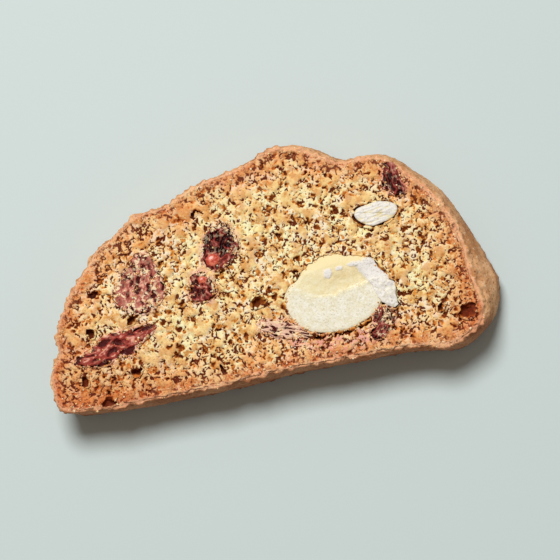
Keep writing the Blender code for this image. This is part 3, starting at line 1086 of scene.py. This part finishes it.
def almond_surface(x, y, share):
    above = y - float(np.interp(x, *SEAM)) + 0.20 * cloud(x, y, 0.8, 2.0) + 0.50 * cloud(x, y, 2.2, 7.0)
    flat = 0.10 * (1.0 - share * share) + 0.06 * cloud(x, y, 2.5, 5.0)
    upper = rise(above, -0.10, 0.45)
    shaded = rise(above, 0.20, 1.10)
    # The broken half: a shallow step on the left, a deeper hollow on the right.
    left = 0.18 * rise(x, -8.2, -5.0)
    right = 0.42 * rise(x, -5.4, 1.0) * (1.0 - rise(x + 0.35 * y, 6.0, 7.6))
    back = 1.0 - rise(above + 0.5 * cloud(x, y, 1.5, 9.0), 1.0, 4.8)
    groove = rise(1.5 - above + 0.4 * cloud(x, y, 0.9, 14.0), 0.0, 1.3) * rise(above, 0.0, 0.5)
    groove *= rise(x, -7.5, -3.0) * (1.0 - rise(x, 5.2, 7.0))
    hollow = (left * (1.0 - rise(above, 2.0, 5.2)) + right * back + 0.16 * groove) * upper
    ragged = 0.35 * cloud(x, y, 0.9, 12.0) + 0.5 * cloud(x, y, 2.4, 4.0)
    white_end = rise(x + 0.60 * y + ragged, 7.1, 7.7) * rise(5.7 - y + ragged, 0.0, 0.5)
    brink = white_end * upper
    edge = 0.45 * cloud(x, y, 0.55, 3.0)
    chips = spot(x, y, (-0.9, 4.1), (1.15, 0.95), 60.0) + spot(x, y, (1.5, 4.7), (0.9, 0.5), 10.0)
    chips += spot(x, y, (4.3, 4.9), (1.3, 0.45), -12.0)
    chips = rise(chips + edge * (chips > 0.0), 0.05, 0.45)
    flank = rise(y + 0.05 * x + 0.5 * cloud(x, y, 1.8, 8.0), 4.3, 5.4) * (1.0 - brink)
    slope = flank * 0.40 * rise(share, 0.72, 1.0)
    height = flat - hollow + 0.14 * brink + 0.14 * chips - slope
    # The tan marks paint shade over the broken half: in the hollow and, strongest, along the groove.
    tan = shaded * (1.0 - brink) * (1.0 - flank)
    hollow_shade = rise(x + 0.8 * cloud(x, y, 1.5, 1.0), -5.0, 2.4) * (0.10 + 0.68 * rise(above, 1.9, 3.1))
    groove_shade = 0.55 * groove * shaded * (0.8 + 0.8 * cloud(x, y, 1.6, 3.0))
    return height, {
        "tan": min(1.0, tan * (0.02 + hollow_shade) + groove_shade),
        # Over the broken half the yellow follows the shaded mask too, as partly painted shade.
        "yellow": max(0.9 * flank, shaded * 0.55, 0.30 * rise(share, 0.80, 1.0)) * (1.0 - white_end),
        "white": max(brink, chips, 0.9 * white_end, 0.28 * rise(-above, 0.0, 0.9)),
        "share": share,
    }


def almond_gap(angle):
    """The nut fills its socket, apart from the cracks that baking opened."""
    cracks = 0.8 * near(angle, 150.0, 14.0) + 0.9 * near(angle, 18.0, 14.0) + 0.3 * near(angle, 215.0, 60.0)
    return 0.50 - 0.80 * cracks


middle, outline = cut_outline("almond_large")
loop = widened(relaxed(resample(outline, 220), 3), almond_gap, 0.12, 3.0)
almond = web("almond_half", middle, loop, almond_surface, almond_look, 3.6 * MM, rings=64)
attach(almond, "root")
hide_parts("almond_large")
print("almond faces:", len(almond.data.polygons))

# %% [markdown]
# The small almond was cut near its end, so it shows lengthwise grain, and it shrank away from the crumb
# on its left and below.  The flake is a chip off the large one: thin, bright, a little tilted, with
# sharp corners, because nuts snap.


# %% The small almond and the flake
def small_surface(x, y, share):
    grain = cloud(x * 0.22, y - 0.08 * x, 0.42, 4.0)
    ledge = rise(y + 0.2 * x, 0.0, 0.25) * 0.10
    height = 0.10 - 0.20 * share * share + 0.16 * grain + ledge
    return height, {
        "tan": 0.40 * rise(-grain, 0.10, 0.4) + 0.35 * rise(share, 0.88, 1.0),
        "yellow": 0.15 * rise(-y, 0.4, 1.8),
        "white": 0.90 * rise(grain, -0.30, 0.0),
        "share": 0.5 + 0.02 * y,
    }


def small_gap(angle):
    return 0.32 - 0.50 * near(angle, 175.0, 110.0) - 0.40 * near(angle, -65.0, 60.0)


middle, outline = cut_outline("almond_small")
loop = widened(relaxed(resample(outline, 120), 2), small_gap, 0.08, 8.0)
small = web("almond_tip", middle, loop, small_surface, almond_look, 2.4 * MM, rings=30, edge=0.2)


def flake_surface(x, y, share):
    height = 0.16 - 0.035 * x + 0.045 * y + 0.26 * cloud(x, y, 1.3, 6.0) + 0.10 * cloud(x, y, 0.5, 2.0)
    white = 0.55 + 0.45 * rise(cloud(x, y, 0.9, 1.0), -0.2, 0.2)
    return height, {"tan": 0.0, "yellow": 0.0, "white": white, "share": 0.4}


def flake_gap(angle):
    return 0.42 + 0.34 * near(angle, -20.0, 90.0)


middle, outline = cut_outline("almond_flake")
loop = widened(resample(outline, 140), flake_gap, 0.26, 2.0)
chip = web("almond_chip", middle, loop, flake_surface, almond_look, 1.4 * MM, rings=24, edge=0.10)
for piece, node_name in ((small, "almond_small"), (chip, "almond_flake")):
    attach(piece, "root")
    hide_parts(node_name)
    print(piece.name, "faces:", len(piece.data.polygons))

# %% [markdown]
# ## The cranberries
#
# A dried cranberry is a wrinkled skin folded on itself.  Its thin crests are painted pink as a highlight,
# and the folds between them almost black as painted shade.  Where the berry lay against the dough, flecks
# of crumb stuck to it.  The colour follows the mark "ridge", which the shape below writes.  Only a plump
# bulb is glossy: a coat over dark dull skin would mirror the pale sky and turn it grey.


# %% Cranberry material
def cranberry_material():
    look, tree, shader = new_material("dried cranberry", 0.30, 0.12)
    marks = ("ridge", "dark", "fleck", "bulb", "pale")
    ridge, dark, fleck, bulb, pale = (attribute(tree, mark) for mark in marks)
    skin, flecks = grained(tree, 0.70 * MM, 0.6, 0.60, 0.68)
    crest = ridge + (skin - 0.5) * 1.0 + (texture(tree, 2.2 * MM) - 0.5) * 1.3
    # On dark skin too the crests are painted lighter, as a highlight.
    night = mix(tree, crest.ramp(0.48, 1.05), (24, 0, 2), (142, 32, 36))
    plump = mix(tree, skin.ramp(0.4, 0.6), (196, 66, 48), (232, 128, 98))
    lying = texture(tree, 0.75 * MM, 2.0, 0.6) + fleck * 0.045
    stuck = (lying.ramp(0.53, 0.58) * fleck).over(flecks * fleck)
    feed(tree, shader.inputs["Base Color"], layered(
        tree, (74, 10, 8),
        # Lighter crests and darker folds: painted highlight and painted shade.
        (crest.ramp(0.26, 0.66), (170, 66, 54)),
        (crest.ramp(0.74, 1.06), (240, 170, 146)),
        (dark, night),
        (pale * crest.ramp(0.36, 0.56), (248, 208, 180)),
        (bulb, plump),
        (stuck, (252, 224, 184)),
    ))
    feed(tree, shader.inputs["Roughness"], (dark + bulb).ramp(0.3, 0.9, 0.60, 0.30))
    feed(tree, shader.inputs["Coat Weight"], bulb * (stuck * -0.6 + 0.6))
    shader.inputs["Coat Roughness"].default_value = 0.25
    bump(tree, shader, skin, 0.16 * MM, 0.9)
    return look


berry_look = cranberry_material()
print(berry_look.name, "nodes:", len(berry_look.node_tree.nodes))

# %% [markdown]
# The wrinkles are ridged noise, stretched along the berry: one minus the size of a cloud that passes
# through zero gives a sharp crest wherever it does.  All seven berries come from one function, and a
# table holds what differs between them.

# %% Wrinkled berries
# name: turn of the folds in degrees, how wide and how long the folds are in millimetres, how high they
# rise, how dark the skin is, how much crumb sticks to it, how pale it is, and how far it spreads beyond
# its socket.
SKINS = {
    "cranberry_low_left": (13.0, 1.40, 3.4, 0.36, 0.06, 0.10, 0.00, 0.52),
    "cranberry_left": (62.0, 1.20, 2.2, 0.30, 0.06, 1.20, 0.10, 0.50),
    "cranberry_crown": (70.0, 1.10, 1.6, 0.50, 0.88, 0.28, 0.00, 0.50),
    "cranberry_middle": (75.0, 1.00, 1.6, 0.40, 0.36, 0.30, 0.00, 0.34),
    "cranberry_shoulder": (100.0, 0.90, 2.4, 0.35, 0.60, 0.35, 0.00, 0.52),
    "cranberry_by_almond": (62.0, 0.90, 1.8, 0.42, 0.52, 0.95, 0.00, 0.54),
    "cranberry_low_middle": (-18.0, 0.70, 2.6, 0.28, 0.00, 1.00, 0.85, 0.58),
}


def berry_surface(turn, across, along, high, dark, crumbs, pale, seed):
    cos, sin = math.cos(math.radians(turn)), math.sin(math.radians(turn))

    def surface(x, y, share):
        u, v = x * cos + y * sin, y * cos - x * sin
        bent = v + 0.55 * cloud(u, v, 2.6, seed)
        crest = 1.0 - 2.4 * abs(noise.noise(Vector((u / along, bent / across, seed + 3.0))))
        small = 1.0 - 2.4 * abs(noise.noise(Vector((u / 0.9, bent / 0.55, seed + 8.0))))
        ridge = min(1.0, max(0.0, 0.75 * crest + 0.25 * small))
        stuck = rise(cloud(x, y, 1.7, seed + 5.0) + 0.5 * cloud(x, y, 0.7, seed + 6.0), -0.10, 0.35)
        height = high * (ridge - 0.70) + 0.06 * cloud(x, y, 0.5, seed) - 0.06 * share**4
        return height, {
            "ridge": ridge,
            "dark": min(1.0, max(0.0, dark + 0.35 * cloud(x, y, 1.8, seed + 1.0))) if dark else 0.0,
            "fleck": min(1.0, crumbs * (0.12 + 1.2 * stuck * (0.4 + 0.6 * share))),
            "bulb": 0.0,
            "pale": pale,
        }

    return surface


def with_bulb(skin_surface, at, half, dark_above):
    """Adds a plump red bulb; beyond it a dark berry shows more of its red."""

    def surface(x, y, share):
        height, marks = skin_surface(x, y, share)
        bulb = spot(x, y, at, half)
        red = rise(bulb, 0.0, 0.25)
        height = height * (1.0 - red) + red * (0.45 * math.sqrt(bulb) - 0.15)
        below = rise(dark_above - y - 0.3 * x, 0.0, 1.2)
        pale_side = rise(share, 0.62, 0.90) * rise(x + 0.6 * y, 0.4, 1.8)
        marks["bulb"] = red
        marks["dark"] *= 1.0 - 0.6 * below
        marks["fleck"] = max(marks["fleck"], pale_side) * (1.0 - red)
        return height, marks

    return surface


BULBS = {  # where a bulb is, its half sizes, and the height below which the skin is less dark
    "cranberry_crown": ((-1.9, -2.3), (1.45, 1.30), -0.4),
    "cranberry_middle": ((0.5, 1.4), (1.00, 0.80), -9.0),
}
berries = []
for number, (name, skin) in enumerate(SKINS.items()):
    middle, outline = cut_outline(name)
    *form, spread = skin
    surface = berry_surface(*form, seed=17.0 * number)
    if name in BULBS:
        surface = with_bulb(surface, *BULBS[name])
    loop = widened(relaxed(resample(outline, 170), 2), lambda angle: spread, 0.62, 5.0 + number)
    berry = web(name + "_skin", middle, loop, surface, berry_look, 2.0 * MM, rings=40, edge=0.30)
    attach(berry, "root")
    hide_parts(name)
    berries.append(berry)
print("berries:", len(berries))

# %% [markdown]
# ## Loose crumbs
#
# A knife through a dry slice leaves crumbs: in the bubbles, along every crack, and above all on the
# sticky berries.  They are scattered, not placed.  A tree takes the upper sides of the finished pieces,
# drops points on them where the mark "likely" is high, and puts a lump of twenty faces at each point,
# turned, stretched and sized by chance.  Small shapes in large numbers must stay this plain.
#
# Their material is the crumb's own gold and cream, without its bubbles.


# %% The crumbs' material
def loose_material():
    look, tree, shader = new_material("loose crumb", 0.9, 0.20)
    grain, flecks = grained(tree, 0.60 * MM, 0.6, 0.54, 0.62)
    feed(tree, shader.inputs["Base Color"], layered(
        tree, (222, 156, 92), (grain.ramp(0.42, 0.56), (250, 218, 156)), (flecks, (255, 246, 220)),
    ))
    return look


loose_look = loose_material()
print(loose_look.name, "nodes:", len(loose_look.node_tree.nodes))

# %% [markdown]
# Crumbs can lie on the upper sides of the crumb, the large almond's rim and the berries, but not deep in
# the sockets, where nobody would see them.  Those faces are gathered in one helper mesh, with the mark
# "likely" on its corners.  The density on a face follows it.

# %% Where crumbs can lie
SHALLOWEST = FACE - 0.9 * MM


def mark_of(piece, name):
    values = np.empty(len(piece.data.vertices))
    piece.data.attributes[name].data.foreach_get("value", values)
    return values


def upper_side(piece, likely):
    """The corners and upward triangles of a piece, and how likely a crumb stays at each corner."""
    points, corners = corner_places(piece.data), triangle_corners(piece.data)
    a, b, c = (points[corners[:, k]] for k in range(3))
    rising = np.cross(b - a, c - a)[:, 2] > 0.0
    shallow = points[corners, 2].min(axis=1) > SHALLOWEST
    return points, corners[rising & shallow], likely


on_crumb = 0.10 + 0.9 * mark_of(crumb, "stain") + 0.15 * (mark_of(crumb, "inward") < 0.25)
on_almond = 1.2 * np.clip((mark_of(almond, "share") - 0.93) / 0.05, 0.0, 1.0)
sides = [upper_side(crumb, on_crumb), upper_side(almond, on_almond)]
sides += [upper_side(berry, 0.05 + mark_of(berry, "fleck")) for berry in berries]
starts = np.cumsum([0] + [len(points) for points, _, _ in sides[:-1]])
perch_mesh = bpy.data.meshes.new("perch")
perch_mesh.from_pydata(
    np.concatenate([points for points, _, _ in sides]).tolist(), [],
    np.concatenate([corners + start for (_, corners, _), start in zip(sides, starts)]).tolist(),
)
likely = perch_mesh.attributes.new("likely", "FLOAT", "POINT")
likely.data.foreach_set("value", np.concatenate([value for _, _, value in sides]).astype(np.float32))
perch = as_object("loose_crumbs", perch_mesh)
print("faces where crumbs can lie:", len(perch_mesh.polygons))

# %% [markdown]
# The tree scatters points, puts a lump on each, and makes the lumps real before it moves their corners
# about, because instances share one shape and could only move together.  After that every crumb is
# different.


# %% Scatter the crumbs
KNOCK = 0.22 * MM  # both how far corners are moved and how far apart they must be to move differently
FULL_TURN = 6.283


def loose_tree(look):
    tree = new_tree("loose crumbs", {
        "Geometry": "Geometry",
        "Per square millimetre": 3.0,
        "Smallest": 0.22 * MM,
        "Largest": 0.60 * MM,
        "Seed": "Int",
    })
    entry = put(tree, "NodeGroupInput").outputs
    mark = put(tree, "GeometryNodeInputNamedAttribute", {"Name": "likely"}, data_type="FLOAT")
    density = Field(tree, mark.outputs["Attribute"]) * entry["Per square millimetre"] / (MM * MM)
    points = put(tree, "GeometryNodeDistributePointsOnFaces", {
        "Mesh": entry["Geometry"], "Density": density, "Seed": entry["Seed"],
    })
    lump = put(tree, "GeometryNodeMeshIcoSphere", {"Radius": 0.5, "Subdivisions": 1})
    chance = put(tree, "FunctionNodeRandomValue", {"Seed": 1}, data_type="FLOAT")
    share = Field(tree, chance.outputs["Value"])
    size = (Field(tree, entry["Largest"]) - entry["Smallest"]) * share * share * share + entry["Smallest"]
    stretch = put(
        tree, "FunctionNodeRandomValue", {"Min": (0.7,) * 3, "Max": (1.5, 1.1, 1.0), "Seed": 2},
        data_type="FLOAT_VECTOR",
    )
    turn = put(
        tree, "FunctionNodeRandomValue", {"Min": (0.0,) * 3, "Max": (FULL_TURN,) * 3, "Seed": 3},
        data_type="FLOAT_VECTOR",
    )
    placed = put(tree, "GeometryNodeInstanceOnPoints", {
        "Points": points.outputs["Points"], "Instance": lump.outputs["Mesh"],
        "Rotation": turn.outputs["Value"], "Scale": vector(tree, "SCALE", stretch.outputs["Value"], size),
    })
    solid = put(tree, "GeometryNodeRealizeInstances", {"Geometry": placed.outputs["Instances"]})
    place = put(tree, "GeometryNodeInputPosition").outputs["Position"]
    knock = shaken_by(tree, noise_node(tree, place, KNOCK, 0.0), KNOCK)
    moved = put(tree, "GeometryNodeSetPosition", {"Geometry": solid.outputs["Geometry"], "Offset": knock})
    return end_tree(tree, moved.outputs["Geometry"], look)


run_tree(perch, loose_tree(loose_look), {"Seed": 4})
perch.data.shade_flat()
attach(perch, "root")
print("loose crumbs:", len(perch.data.polygons) // 20)
